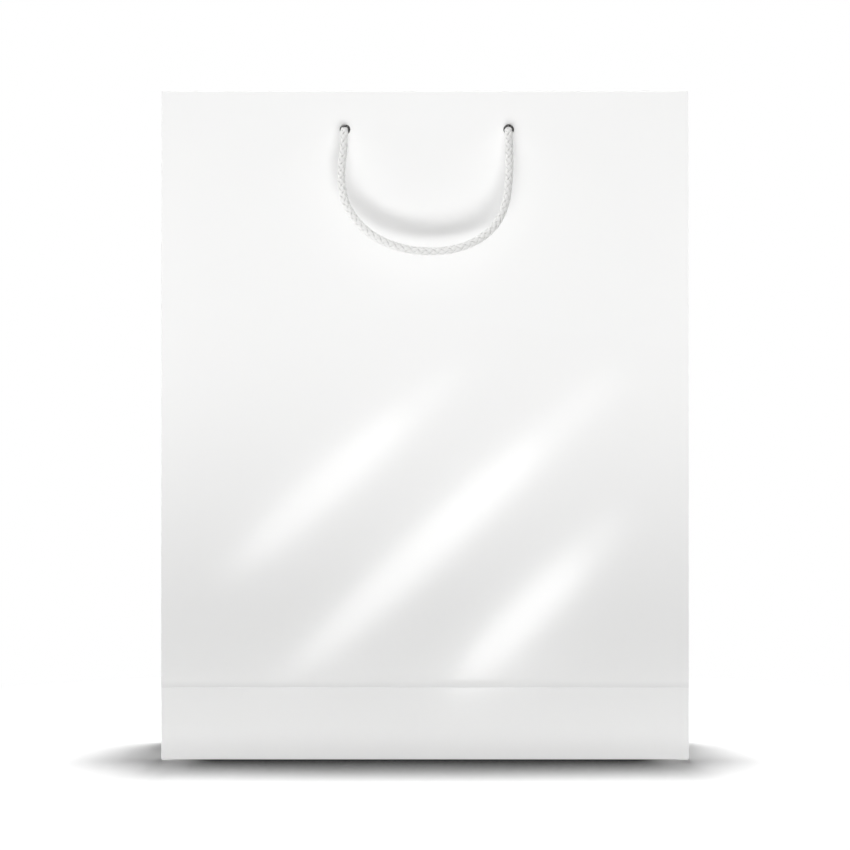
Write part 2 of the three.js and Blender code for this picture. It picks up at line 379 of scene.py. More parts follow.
def new_object(name, points, faces):
    """An object at the origin whose mesh has these points and these lists of faces."""
    mesh = bpy.data.meshes.new(name)
    mesh.from_pydata(points.reshape(-1, 3).tolist(), [], faces)
    mesh.shade_smooth()
    made = bpy.data.objects.new(name, mesh)
    bpy.context.scene.collection.objects.link(made)
    return made


print("quads in a closed grid of 3 rows and 4 columns:", len(grid_faces(closed(point_grid(3, 4)))))

# %% [markdown]
# The points of a braid carry two numbers for its painted shade: how high they lie in the weave, and
# whether they are behind the hem, where hardly any light gets in.

# %% A braided piece
def point_values(piece, name, values):
    """Gives every point of a piece a number, which its material reads by this name."""
    piece.data.attributes.new(name, "FLOAT", "POINT").data.foreach_set("value", values)


def braided_piece(name, line, from_hole, behind_hem):
    """The tubes of a braid along a line, as one object. Only the strands need a UV map."""
    tubes, lift = braid_tubes(line, girth(from_hole))
    made = new_object(name, tubes, tube_faces(point_grid(*tubes.shape[:3])))
    point_values(made, "height_in_weave", np.repeat(lift, tube_sides))
    point_values(made, "behind_the_hem", np.tile(np.repeat(behind_hem, tube_sides), len(tubes)))
    strand_uv = np.tile(grid_uv(length_along(line), tube_sides), (strand_count, 1))
    uv = np.zeros((len(made.data.loops), 2))
    uv[:len(strand_uv)] = strand_uv
    made.data.uv_layers.new(name="along_the_strand").data.foreach_set("uv", uv.ravel())
    return made


print("tubes in a braided piece:", strand_count + 1)

# %% [markdown]
# ## Two handles
# Each handle is one braid from hem to hem. It moves with the bag, which is a single body, and hides
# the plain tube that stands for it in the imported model.

# %% Handles
def finish_piece(piece, node_name):
    """The piece moves with the bag and stands for this CAD node, which is hidden."""
    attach(piece, "root")
    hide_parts(node_name)
    print(f"{piece.name}: {len(piece.data.vertices)} vertices, {len(piece.data.polygons)} faces")


handles = {}
for panel, line in handle_lines.items():
    run = length_along(line)
    from_hole = np.minimum(run, run[-1] - run)
    behind_hem = (from_hole < hem_stack) * 1.0
    handles[panel] = braided_piece(f"{panel}_handle_braid", line, from_hole, behind_hem)
    finish_piece(handles[panel], f"{panel}_handle_cord")

# %% [markdown]
# ## Four knots
# Each knot is a braid along the tied line, with a short tail that droops. The four lean a little
# differently, as knots tied by hand do.

# %% Knots
knot_gap = 0.3 * MM
knot_half_length = 8.5 * MM
tail_length = 13 * MM
tail_points = 14
tail_droop = math.radians(40)
knot_leans = {"front": {"left": -8, "right": 13}, "back": {"left": 6, "right": -11}}


def knot_in_place(sign, end, lean):
    """The tied line turned by its lean about the cord, with a tail that bends down, and set behind the
    hem so that its near end is the end of the handle's line."""
    reach = knot_half_length + knot_gap
    turns = knot_line[np.abs(knot_line[:, 0]) < reach]
    turns = turns - turns[0] * [0, 1, 1]
    tilt = math.radians(lean)
    across = turns[:, 1] * math.cos(tilt) - turns[:, 2] * math.sin(tilt)
    upward = turns[:, 1] * math.sin(tilt) + turns[:, 2] * math.cos(tilt)
    knot = np.stack([turns[:, 0], across, upward], axis=1)
    knot[0] = [-reach, 0, 0]
    run = np.linspace(0, tail_length, tail_points)[1:]
    droop = tail_droop * np.clip(run / (tail_length / 2), 0, 1)
    tail_steps = np.stack([np.cos(droop), 0 * run, -np.sin(droop)], axis=1) * (run[1] - run[0])
    along, across, upward = np.vstack([knot, knot[-1] + np.cumsum(tail_steps, axis=0)]).T
    start_across, _, start_drop = in_hole(end, 0)
    x = hole_offset + start_across + across
    y = sign * (face_depth - hem_stack - (along + reach))
    z = hole_height - start_drop + upward
    return smooth_line(np.stack([x, y, z], axis=1), braid_step)


panel_signs = {"front": -1, "back": 1}
knots_on = {"front": [], "back": []}
for panel, sign in panel_signs.items():
    for hand, end in (("left", -1), ("right", 1)):
        line = knot_in_place(sign, end, knot_leans[panel][hand])
        knot = braided_piece(f"{panel}_{hand}_tied_knot", line, length_along(line), np.ones(len(line)))
        finish_piece(knot, f"{panel}_{hand}_knot")
        knots_on[panel].append(knot)
    line = handle_lines[panel]

# %% [markdown]
# ## The folded sheet: columns
# The body is one sheet, so it is one grid. Its columns run round the bag: along the front panel, round
# the right gusset, along the back and round the left gusset. Folds are rounded by a short curve, and
# the panels have extra columns at the holes, which later become round.

# %% Columns round the bag
fold_reach = 0.6 * MM
hole_middles = hole_offset + hole_spacing * np.array([-0.5, 0.5])
hole_radius = 3.25 * MM
hole_reach = 12 * MM
hole_lines = hole_radius * np.array([0.25, 0.5, 0.75, 1, 1.35, 1.8, 2.5, 3.3])
round_a_hole = np.concatenate([-hole_lines[::-1], [0], hole_lines])
panel_columns = 64
gusset_columns = 9
fold_columns = 5
kept_share = 0.7
panel_end = half_width - fold_reach
even_x = np.linspace(-panel_end, panel_end, panel_columns + 1)[1:-1]
clear_of_holes = np.abs(even_x[:, None] - hole_middles).min(axis=1) > hole_reach
panel_x = np.sort(np.concatenate([even_x[clear_of_holes], (hole_middles[:, None] + round_a_hole).ravel()]))
gusset_share = np.linspace(0, 1, gusset_columns + 2)[1:-1]
fold_share = np.linspace(0, 1, fold_columns)
print("columns on a panel:", len(panel_x), "on half a gusset:", gusset_columns)


def ring_corners(height, panel_inset, gusset_inset):
    """The six corners of the bag's outline at each height, set in from its outer faces: four where a
    panel meets a gusset and one in the middle of each gusset. Shape: rows, 6, 2."""
    draw_in = gusset_draw_in(height)
    depth = panel_depth(height)
    slope = np.hypot(depth, draw_in)
    along_gusset = panel_inset + gusset_inset * draw_in / slope
    corner_x = half_width - gusset_inset * depth / slope - along_gusset * draw_in / depth
    middle_x = half_width - draw_in - gusset_inset * slope / depth
    panel_y = depth - panel_inset
    level = np.zeros_like(panel_y)
    corners = [(-corner_x, -panel_y), (corner_x, -panel_y), (middle_x, level),
               (corner_x, panel_y), (-corner_x, panel_y), (-middle_x, level)]
    return np.moveaxis(np.array(corners), 2, 0)


def between_ends(x, end):
    """Columns of a panel kept at their own x in its middle part and drawn in towards its ends."""
    kept = kept_share * half_width
    share = np.clip((np.abs(x) - kept) / (panel_end - kept), 0, 1)
    return np.where(share > 0, np.sign(x) * (kept + share * (end - kept)), x)


def ring_points(height, panel_inset, gusset_inset):
    """Points round the bag at each height: at each corner a short curve between the two sides, which
    leaves one straight and meets the other (quadratic, with the corner as its control point), then the
    columns of the side. Returns x and y with rows and columns."""
    corner = ring_corners(height, panel_inset, gusset_inset)[:, :, None]
    onward = unit(np.roll(corner, -1, axis=1) - corner)
    before = corner - fold_reach * np.roll(onward, 1, axis=1)
    after = corner + fold_reach * onward
    t = fold_share[:, None]
    folds = (1 - t) ** 2 * before + 2 * t * (1 - t) * corner + t**2 * after
    share = gusset_share[:, None]
    gussets = after * (1 - share) + np.roll(before, -1, axis=1) * share
    own_x = {0: panel_x, 3: panel_x[::-1]}
    parts = []
    for side in range(6):
        parts.append(folds[:, side])
        if side in own_x:
            x = between_ends(own_x[side], np.abs(after[:, side, :, 0]))
            parts.append(np.stack([x, np.broadcast_to(corner[:, side, :, 1], x.shape)], axis=2))
        else:
            parts.append(gussets[:, side])
    return np.moveaxis(np.concatenate(parts, axis=1), 2, 0)


# %% [markdown]
# The columns need a few labels: which side of the bag a column is on, and on a gusset how far it is
# from the middle fold. The layers of the base and of the hem then follow from the side.

# %% Labels of the columns
side_names = ["front", "right", "right", "back", "left", "left"]
side_shares = [np.ones(len(panel_x)), 1 - gusset_share, gusset_share] * 2
fold_shares = [1.0, 1.0, 0.0] * 2
side_labels = np.concatenate([["fold"] * fold_columns + [name] * len(share)
                              for name, share in zip(side_names, side_shares)])
middle_share = np.concatenate([np.append(np.full(fold_columns, at_fold), share)
                               for at_fold, share in zip(fold_shares, side_shares)])
is_panel = np.isin(side_labels, ["front", "back"])
is_gusset = np.isin(side_labels, ["left", "right"])
columns = len(side_labels)
print("columns round the bag:", columns)

# %% [markdown]
# ## The folded sheet: rows
# The rows start at the raw edge of the hem, inside the bag. They climb the hem, turn over the rim, run
# down the outside and turn under at the base. The rows of the hem and of the wall share their heights,
# so that a hole goes through both. They lie close together where the crease is pressed in.

# %% Rows from the hem to the base
paper = 0.25 * MM
hem_bottom = bag_height - hem_depth
gusset_hem_stack = 2 * paper
rim_start = bag_height - hem_stack / 2
foot_radius = 0.5 * MM
hem_even = np.array([0, 4, 8, 37, 41, 44.5]) * MM + hem_bottom
hem_rows = np.sort(np.concatenate([hem_even, hole_height + round_a_hole, [rim_start]]))
wall_count = 62
wall_rows = np.linspace(52 * MM, hem_bottom - 4 * MM, wall_count)
crease_rows = MM * np.array([38, 40.5, 42, 42.9, 43.4, 43.7, 43.9, 44.2, 44.7, 45.3, 46, 46.8, 47.6,
                             48.4, 49.5])
foot_rows = np.array([0.9, 2, 4, 8, 13, 18, 23, 28, 33]) * MM
outer_rows = np.concatenate([foot_rows, crease_rows, wall_rows, hem_rows])[::-1]
rim_steps = 8
foot_steps = 4
over_rim = np.linspace(np.pi, 0, rim_steps + 1)[1:-1]
under_foot = np.linspace(0, np.pi / 2, foot_steps + 1)

row_height = np.concatenate([hem_rows, np.full(len(over_rim), bag_height), outer_rows,
                             np.zeros(len(under_foot))])
hem_part = np.concatenate([np.ones(len(hem_rows)), (1 - np.cos(over_rim)) / 2,
                           np.zeros(len(outer_rows) + len(under_foot))])
foot_inset = np.zeros(len(row_height))
foot_inset[-len(under_foot):] = foot_radius * (1 - np.cos(under_foot))
sheet_x, sheet_y = ring_points(row_height, hem_stack * hem_part + foot_inset,
                               gusset_hem_stack * hem_part + foot_inset)
sheet_z = np.repeat(row_height[:, None], columns, axis=1)
print("rows:", len(row_height), "points in the sheet:", sheet_z.size)

# %% [markdown]
# At the rim the paper turns over in a half circle, as wide as the stack of paper and card in it. At the
# base it turns under in a quarter circle, down to the layer that its flap has: the back flap lies
# lowest, the front flap on it, and the ends of the gussets on both.

# %% The turns at the rim and the foot
fold_stack = (hem_stack + gusset_hem_stack) / 2
stack = np.select([is_panel, is_gusset], [hem_stack, gusset_hem_stack], fold_stack)
rim_from = len(hem_rows)
rim_to = rim_from + len(over_rim)
sheet_z[rim_from:rim_to] = bag_height - stack / 2 * (1 - np.sin(over_rim))[:, None]
layer_of = {"back": 0.0, "front": paper, "left": 2 * paper, "right": 2 * paper, "fold": 1.5 * paper}
foot_layer = np.array([layer_of[label] for label in side_labels])
sheet_z[-len(under_foot):] = foot_layer + foot_radius * (1 - np.sin(under_foot))[:, None]
print("rim at", sheet_z.max() / MM, "foot at", sheet_z.min() / MM)

# %% [markdown]
# ## Folds, crease and slack
# Below its apex a gusset has two diagonal folds to the corners of the base. The wide panels carry a
# crease half a depth up, from the time when the base lay folded flat: a soft slope above and a sharp
# edge below. Paper is never quite flat, so the panels also bow a little and have slow ripples.

# %% Press the crease and the folds into the sheet
crease_depth = 0.22 * MM
crease_slope = 4.3 * MM
crease_lip = crease_height - 1.1 * MM
bow = 0.55 * MM
ripple = 0.12 * MM
# how fast each ripple runs across and up the panel, in radians a metre, and where it starts
ripples = ((23, 11, 0.7), (13, -29, 2.1))


def base_fold(height, share):
    """What the two flat triangles below a gusset's apex add to a straight gusset: the lower of a slope
    that rises to the apex and a slope that falls from the middle to the edge, less their product."""
    up = np.clip(height / crease_height, 0, 1)
    return apex_draw_in * (np.minimum(up, 1 - share) - up * (1 - share))


def crease_dip(height):
    """Grows in a straight line down to the lip, and is gone just below it."""
    above = np.clip((crease_lip + crease_slope - height) / crease_slope, 0, 1)
    return crease_depth * np.where(height >= crease_lip, above, 0)


def panel_slack(x, height):
    """A bow that is zero at the panel's edges, the crease and the hem, and two slow crossing waves."""
    up = np.clip((height - crease_height) / (hem_bottom - crease_height), 0, 1)
    window = np.sin(np.pi * up) * (1 - (x / half_width) ** 2)
    waves = sum(np.sin(across * x + upward * height + start) for across, upward, start in ripples)
    return window * (bow + ripple * waves)


outward_x = np.sign(sheet_x) * is_gusset
sheet_x = sheet_x - outward_x * base_fold(row_height[:, None], middle_share)
outward_y = np.where(side_labels == "front", -1, 1) * is_panel
is_wall = np.arange(len(row_height)) >= rim_to
dip = crease_dip(row_height)[:, None]
sheet_y = sheet_y + outward_y * is_wall[:, None] * (panel_slack(sheet_x, row_height[:, None]) - dip)
print("deepest part of the crease:", crease_dip(crease_lip) / MM, "mm")

# %% [markdown]
# ## Round holes in a square grid
# Near a hole the grid's lines are squares about its middle. Each square is drawn towards the circle of
# its own size, fully at the hole's edge and less and less further out. The quads inside the edge are
# then left out, in the panel and in the hem alike.

# %% Punch the holes
tiny = 1e-9
cell_x = (sheet_x + np.roll(sheet_x, -1, axis=1)) / 2
cell_z = (row_height[:-1] + row_height[1:]) / 2
punched = np.zeros((len(row_height) - 1, columns), dtype=bool)
for middle in hole_middles:
    beside = np.abs(cell_x[:-1] - middle) < hole_radius
    level = np.abs(cell_z - hole_height) < hole_radius
    punched |= beside & level[:, None] & is_panel
    from_x = sheet_x - middle
    from_z = sheet_z - hole_height
    square = np.maximum(np.abs(from_x), np.abs(from_z))
    circle = np.maximum(np.hypot(from_x, from_z), tiny)
    pull = np.clip((hole_reach - square) / (hole_reach - hole_radius), 0, 1) * is_panel
    scale = 1 + pull * (square / circle - 1)
    sheet_x = middle + from_x * scale
    sheet_z = hole_height + from_z * scale
print("quads punched out:", punched.sum())

# %% [markdown]
# ## Flaps and seam
# Under the base the four walls end in flaps, folded in one after another and glued. Each is a strip of
# further rows on its own wall: the point moves inwards by the length of the flap, and the flap narrows
# at 45 degrees. The glued seam is a strip inside the corner of the back panel.

# %% Base flaps and the glued seam
sheet_points = np.stack([sheet_x, sheet_y, sheet_z], axis=2).reshape(-1, 3)
sheet_faces = grid_faces(closed(point_grid(*sheet_z.shape)))[~punched.ravel()][:, ::-1]
panel_flap = half_depth + 20 * MM
gusset_flap = half_depth - 2 * MM
flap_rows = 12


def flap(label, flap_length, start):
    """More rows on one wall, going in along the base. On a panel the point's y moves in and its x is
    scaled so that the ends run at 45 degrees; on a gusset x moves in and y is scaled."""
    on_wall = np.flatnonzero(side_labels == label)
    foot = (len(row_height) - 1) * columns + np.arange(on_wall[0], on_wall[-1] + 1)
    edge = sheet_points[foot]
    inwards = (np.arange(1, flap_rows + 1) / flap_rows * flap_length)[:, None]
    going = 1 if label in ("front", "back") else 0
    narrow = 1 - inwards / np.abs(edge[:, 1 - going]).max()
    points = np.repeat(edge[None], flap_rows, axis=0)
    points[..., going] = edge[:, going] - np.sign(edge[0, going]) * inwards
    points[..., 1 - going] = edge[:, 1 - going] * narrow
    points[..., 2] = layer_of[label]
    grid = np.vstack([foot, start + point_grid(flap_rows, len(foot))])
    turned_over = grid_faces(grid)[:, [0, 3, 2, 1]]
    return points.reshape(-1, 3), turned_over


for label, flap_length in (("back", panel_flap), ("front", panel_flap),
                           ("left", gusset_flap), ("right", gusset_flap)):
    flap_points, flap_faces = flap(label, flap_length, len(sheet_points))
    sheet_points = np.vstack([sheet_points, flap_points])
    sheet_faces = np.vstack([sheet_faces, flap_faces])

seam_width = 20 * MM
seam_foot = 1.5 * MM
seam_top = hem_bottom + 2 * MM
seam_gap = 1.05 * paper
seam_rows = 60
seam_columns = 7
seam_z, seam_x = np.meshgrid(np.linspace(seam_foot, seam_top, seam_rows),
                             np.linspace(fold_reach, seam_width, seam_columns) - half_width, indexing="ij")
seam_y = panel_depth(seam_z) + panel_slack(seam_x, seam_z) - crease_dip(seam_z) - seam_gap
seam_faces = grid_faces(point_grid(*seam_z.shape))[:, ::-1] + len(sheet_points)
sheet_points = np.vstack([sheet_points, np.stack([seam_x, seam_y, seam_z], axis=2).reshape(-1, 3)])
sheet_faces = np.vstack([sheet_faces, seam_faces])
print("faces in the whole sheet:", len(sheet_faces))

# %% [markdown]
# ## Thickness
# So far the sheet is only its laminated face. Solidify gives it the thickness of the paper on the other
# side, and puts the uncoated side and the cut edges on materials of their own. It is applied here, so
# that edges sharper than a fold can be marked sharp on the finished mesh.

# %% Give the paper its thickness
sharp_angle = math.radians(40)


def with_thickness(piece, thickness, side_material=0, edge_material=0):
    """Applies a Solidify that grows against the faces' direction, and marks the sharp edges."""
    solid = piece.modifiers.new("thickness", "SOLIDIFY")
    solid.thickness = thickness
    solid.offset = -1
    solid.material_offset = side_material
    solid.material_offset_rim = edge_material
    evaluated = piece.evaluated_get(bpy.context.evaluated_depsgraph_get())
    thick = bpy.data.meshes.new_from_object(evaluated)
    piece.modifiers.clear()
    piece.data = thick
    piece.data.shade_smooth()
    piece.data.set_sharp_from_angle(angle=sharp_angle)


folded_sheet = new_object("folded_sheet", sheet_points, sheet_faces.tolist())
for finish in ("laminated_outside", "uncoated_inside", "cut_paper_edge"):
    folded_sheet.data.materials.append(bpy.data.materials.new(finish))
with_thickness(folded_sheet, paper, side_material=1, edge_material=2)
finish_piece(folded_sheet, "paper_body")

# %% [markdown]
# ## Base card
# A loose card lies on the folded base. It has rounded corners, so its square corner grid is drawn to a
# quarter circle, and it curls up a little towards its ends.

# %% Base card
card_low, card_high = (np.array(corner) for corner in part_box("base_card"))
half_length, half_breadth, card_thickness = (card_high - card_low) * [0.5, 0.5, 1]
card_corner = 5 * MM
card_curl = 0.3 * MM
card_columns = 101
card_rows = 41
card_x, card_y = np.meshgrid(np.linspace(-1, 1, card_columns) * half_length,
                             np.linspace(-1, 1, card_rows) * half_breadth)
over_x = np.maximum(np.abs(card_x) - (half_length - card_corner), 0)
over_y = np.maximum(np.abs(card_y) - (half_breadth - card_corner), 0)
drawn = np.maximum(over_x, over_y) / np.maximum(np.hypot(over_x, over_y), tiny)
card_x = card_x - np.sign(card_x) * over_x * (1 - drawn)
card_y = card_y - np.sign(card_y) * over_y * (1 - drawn)
card_z = card_high[2] + card_curl * (card_x / half_length) ** 4
base_card = new_object("base_board", np.stack([card_x, card_y, card_z], axis=2),
                       grid_faces(point_grid(*card_z.shape)).tolist())
base_card.data.materials.append(bpy.data.materials.new("grey_board"))
with_thickness(base_card, card_thickness)
finish_piece(base_card, "base_card")

# %% [markdown]
# ## Node helpers
# Materials are built from nodes in code. One helper fills a node's sockets with values or with what feeds
# them, a few short ones add the nodes that come up often, and one makes a group.

# %% Helpers for nodes
def fill_sockets(tree, made, sockets):
    """Gives each of these sockets of a node a value, or the output that feeds it."""
    for name, value in sockets.items():
        if isinstance(value, bpy.types.NodeSocket):
            tree.links.new(value, made.inputs[name])
        else:
            made.inputs[name].default_value = value


def node(tree, kind, sockets, **settings):
    """A new node with these properties and sockets."""
    made = tree.nodes.new(kind)
    for name, value in settings.items():
        setattr(made, name, value)
    fill_sockets(tree, made, sockets)
    return made


def calculate(tree, operation, *values):
    """A Math node on values or outputs, with its result."""
    return node(tree, "ShaderNodeMath", dict(enumerate(values)), operation=operation).outputs[0]


def spread(tree, value, low, high, to_low=0.0, to_high=1.0):
    """A value stretched from one range to another and held there, with a smooth start and finish."""
    sockets = {"Value": value, "From Min": low, "From Max": high, "To Min": to_low, "To Max": to_high}
    return node(tree, "ShaderNodeMapRange", sockets, interpolation_type="SMOOTHSTEP").outputs["Result"]


def noise(tree, place, scale, **look):
    """A noise pattern over a place, as a value from 0 to 1."""
    return node(tree, "ShaderNodeTexNoise", {"Vector": place, "Scale": scale, **look}).outputs["Fac"]


def attribute(tree, name):
    """A number that the piece's points carry under this name."""
    return node(tree, "ShaderNodeAttribute", {}, attribute_name=name).outputs["Fac"]


def closeness(tree, reach, samples):
    """Ambient occlusion: one in the open, and less where something within reach closes the place in."""
    return node(tree, "ShaderNodeAmbientOcclusion", {"Distance": reach}, samples=samples).outputs["AO"]


def shader_group(name, number, outputs):
    """An empty node group that takes a place and one number: its tree, its inputs and its output node."""
    tree = bpy.data.node_groups.new(name, "ShaderNodeTree")
    tree.interface.new_socket("Vector", in_out="INPUT", socket_type="NodeSocketVector")
    tree.interface.new_socket(number, in_out="INPUT", socket_type="NodeSocketFloat")
    for socket in outputs:
        tree.interface.new_socket(socket, in_out="OUTPUT", socket_type="NodeSocketFloat")
    return tree, tree.nodes.new("NodeGroupInput").outputs, tree.nodes.new("NodeGroupOutput")


def place_group(tree, group, place, **number):
    """A group placed in a material with its own number, and what it puts out."""
    return node(tree, "ShaderNodeGroup", {"Vector": place, **number}, node_tree=group).outputs


print("finishes to fill:", [material.name for material in folded_sheet.data.materials])

# %% [markdown]
# ## Effects that several finishes share
# Paper and board have the same felted grain at different strengths, and handling leaves soft patches on
# all of them. Both are noise patterns, so one group of each serves every finish.

# %% Grain and handling
fine_ratio = 3.7
fibre_share = 0.35
tree, inputs, output = shader_group("paper_grain", "Scale", ["Height", "Tint"])
felt = noise(tree, inputs["Vector"], inputs["Scale"], Detail=5.0, Roughness=0.62, Distortion=0.6)
fine_scale = calculate(tree, "MULTIPLY", inputs["Scale"], fine_ratio)
fibres = noise(tree, inputs["Vector"], fine_scale, Detail=2.0, Distortion=2.5)
fill_sockets(tree, output, {
    "Height": calculate(tree, "MULTIPLY_ADD", fibres, fibre_share, felt),
    "Tint": spread(tree, felt, 0.3, 0.7),
})
paper_grain = tree

tree, inputs, output = shader_group("handling", "Scale", ["Patches"])
patches = noise(tree, inputs["Vector"], inputs["Scale"], Detail=1.0, Roughness=0.4)
fill_sockets(tree, output, {"Patches": spread(tree, patches, 0.2, 0.8)})
handling = tree
print("shared effects:", [group.name for group in bpy.data.node_groups])

# %% [markdown]
# The lines where the sheet was folded are found from object coordinates: the crease round the bag, the
# middle of each gusset above its apex, and the two diagonals below it. They are a mask that is one on
# the line and fades beside it.

# %% Fold lines
lip_width = 0.35 * MM
apex_blur = 1 * MM
gusset_from = half_width - 21 * MM
gusset_to = half_width - 19 * MM
tree, inputs, output = shader_group("fold_lines", "Width", ["Crease", "Gusset"])
apart = node(tree, "ShaderNodeSeparateXYZ", {"Vector": inputs["Vector"]}).outputs
side_y = calculate(tree, "ABSOLUTE", apart["Y"])
over_lip = calculate(tree, "SUBTRACT", apart["Z"], crease_lip)
soft_above = spread(tree, over_lip, 0.0, crease_slope, 1.0, 0.0)
sharp_below = spread(tree, over_lip, -lip_width, 0.0)
on_gusset = spread(tree, calculate(tree, "ABSOLUTE", apart["X"]), gusset_from, gusset_to)
above_apex = spread(tree, over_lip, -apex_blur, apex_blur)
below_apex = calculate(tree, "SUBTRACT", 1.0, above_apex)
up_and_out = calculate(tree, "ADD", side_y, apart["Z"])
past_diagonal = calculate(tree, "SUBTRACT", up_and_out, crease_height)
from_diagonal = calculate(tree, "ABSOLUTE", past_diagonal)
on_middle = spread(tree, side_y, 0.0, inputs["Width"], 1.0, 0.0)
on_diagonal = spread(tree, from_diagonal, 0.0, inputs["Width"], 1.0, 0.0)
middle_line = calculate(tree, "MULTIPLY", above_apex, on_middle)
diagonal_line = calculate(tree, "MULTIPLY", below_apex, on_diagonal)
gusset_line = calculate(tree, "MAXIMUM", middle_line, diagonal_line)
fill_sockets(tree, output, {
    "Crease": calculate(tree, "MULTIPLY", soft_above, sharp_below),
    "Gusset": calculate(tree, "MULTIPLY", on_gusset, gusset_line),
})
fold_lines = tree
print("nodes in the fold lines:", len(fold_lines.nodes))

# %% [markdown]
# ## Laminated outside
# A clear film over white paper gives the bag its gloss: soft, wide reflections and a trace of the grain
# below. The film is slightly duller where hands have been, and along the crease and the folds its colour
# is painted a touch greyer, as painted shade of the fold lines.

# %% Finish of the outside
def start_material(name):
    """A material, its tree, its Principled shader and the object coordinates that its patterns use."""
    material = bpy.data.materials.get(name) or bpy.data.materials.new(name)
    material.use_nodes = True
    tree = material.node_tree
    shader = tree.nodes["Principled BSDF"]
    return material, tree, shader, tree.nodes.new("ShaderNodeTexCoord").outputs["Object"]


def mix_colours(tree, share, *colours):
    """A colour between two, which are fixed or made by nodes, by a share that changes over the surface.
    The sockets of a Mix node that take colours are numbers 6 and 7."""
    first, second = ((*colour, 1.0) if isinstance(colour, tuple) else colour for colour in colours)
    return node(tree, "ShaderNodeMix", {0: share, 6: first, 7: second}, data_type="RGBA").outputs[2]


def bump(tree, height, distance):
    """A relief for the shader's normal: distance is how high a height of one stands, in metres."""
    return node(tree, "ShaderNodeBump", {"Height": height, "Distance": distance}).outputs["Normal"]


white_film = (0.93, 0.93, 0.925)
# the grey of the painted shade along the crease and the gusset folds
fold_shade_grey = (0.74, 0.74, 0.745)
crease_shade_share = 0.36
gusset_shade_share = 0.35
film_roughness = (0.135, 0.15)
fold_dulling = 0.12
_, tree, shader, place = start_material("laminated_outside")
grain = place_group(tree, paper_grain, place, Scale=520.0)
lines = place_group(tree, fold_lines, place, Width=0.9 * MM)
hands = place_group(tree, handling, place, Scale=5.0)
folds = calculate(tree, "MAXIMUM", lines["Crease"], lines["Gusset"])
# painted shade: the crease and the gusset folds are painted greyer than the film
crease_painted_shade = calculate(tree, "MULTIPLY", lines["Crease"], crease_shade_share)
fold_painted_shade = calculate(tree, "MULTIPLY_ADD", lines["Gusset"], gusset_shade_share, crease_painted_shade)
dull = spread(tree, hands["Patches"], 0.0, 1.0, *film_roughness)
fill_sockets(tree, shader, {
    "Base Color": mix_colours(tree, fold_painted_shade, white_film, fold_shade_grey),
    "Roughness": calculate(tree, "MULTIPLY_ADD", folds, fold_dulling, dull),
    "IOR": 1.5,
    "Normal": bump(tree, grain["Height"], 0.004 * MM),
})
print("nodes in the outside's finish:", len(tree.nodes))

# %% [markdown]
# ## Uncoated inside and cut edges
# Inside, the paper has no film, so it is matt and shows its fibres. The cut edges at the holes and at
# the hem are rougher still. One function makes both, and the board of the cards after them.

# %% Finish of the inside and of the edges
def paper_finish(name, colours, scale, relief, roughness):
    """Bare paper: two near colours by the grain, a dull surface and a felted relief."""
    material, tree, shader, place = start_material(name)
    grain = place_group(tree, paper_grain, place, Scale=scale)
    hands = place_group(tree, handling, place, Scale=14.0)
    fill_sockets(tree, shader, {
        "Base Color": mix_colours(tree, grain["Tint"], *colours),
        "Roughness": spread(tree, hands["Patches"], 0.0, 1.0, *roughness),
        "Specular IOR Level": 0.3,
        "Normal": bump(tree, grain["Height"], relief),
    })
    print(f"{name}: {len(tree.nodes)} nodes")
    return material


paper_finish("uncoated_inside", colours=((0.88, 0.88, 0.87), (0.83, 0.83, 0.815)),
             scale=700.0, relief=0.03 * MM, roughness=(0.78, 0.88))
paper_finish("cut_paper_edge", colours=((0.86, 0.855, 0.84), (0.74, 0.735, 0.72)),
             scale=2400.0, relief=0.03 * MM, roughness=(0.85, 0.95))

# %% [markdown]
# ## Grey board
# The cards are made from recycled board, which has a warm grey tone and small dark and light flecks. The
# base board and both rim cards share it; the rim cards keep their own solids, because all that shows of
# them is a thin line inside each hole.

# %% Finish of the cards
board = paper_finish("grey_board", colours=((0.79, 0.77, 0.72), (0.68, 0.66, 0.61)),
                     scale=420.0, relief=0.05 * MM, roughness=(0.86, 0.94))
rim_cards = [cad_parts["front_rim_card"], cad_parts["back_rim_card"]]
for card in rim_cards:
    card.data.materials.clear()
    card.data.materials.append(board)
print("cards finished with", board.name)

# %% [markdown]
# ## Cord
# The cord is braided from white yarn. Fine lines run along each strand, on its own UV map, and the low
# parts of the weave are painted a little darker, as painted shade. Behind the hem the holes look black,
# so the yarn there is painted nearly black, as painted shade, as far as the paper round it closes it in.

# %% Finish of the cord
bright_yarn = (0.87, 0.867, 0.858)
shaded_yarn = (0.7, 0.697, 0.688)
shade_painted_yarn = (0.03, 0.03, 0.03)
lines_each_way = (450.0, 26.0, 1.0)
yarn_share = 0.25
white_yarn, tree, shader, _ = start_material("white_yarn")
strand = node(tree, "ShaderNodeUVMap", {}, uv_map="along_the_strand").outputs["UV"]
stretched = node(tree, "ShaderNodeMapping", {"Vector": strand, "Scale": lines_each_way}).outputs["Vector"]
yarn = noise(tree, stretched, 1.0, Detail=2.0)
# painted shade: the low parts of the weave are painted darker; the yarn's fine lines are its own tone
shade = spread(tree, attribute(tree, "height_in_weave"), -1.0, 0.6, 1.0, 0.0)
tint = calculate(tree, "MULTIPLY_ADD", spread(tree, yarn, 0.35, 0.65), yarn_share, shade)
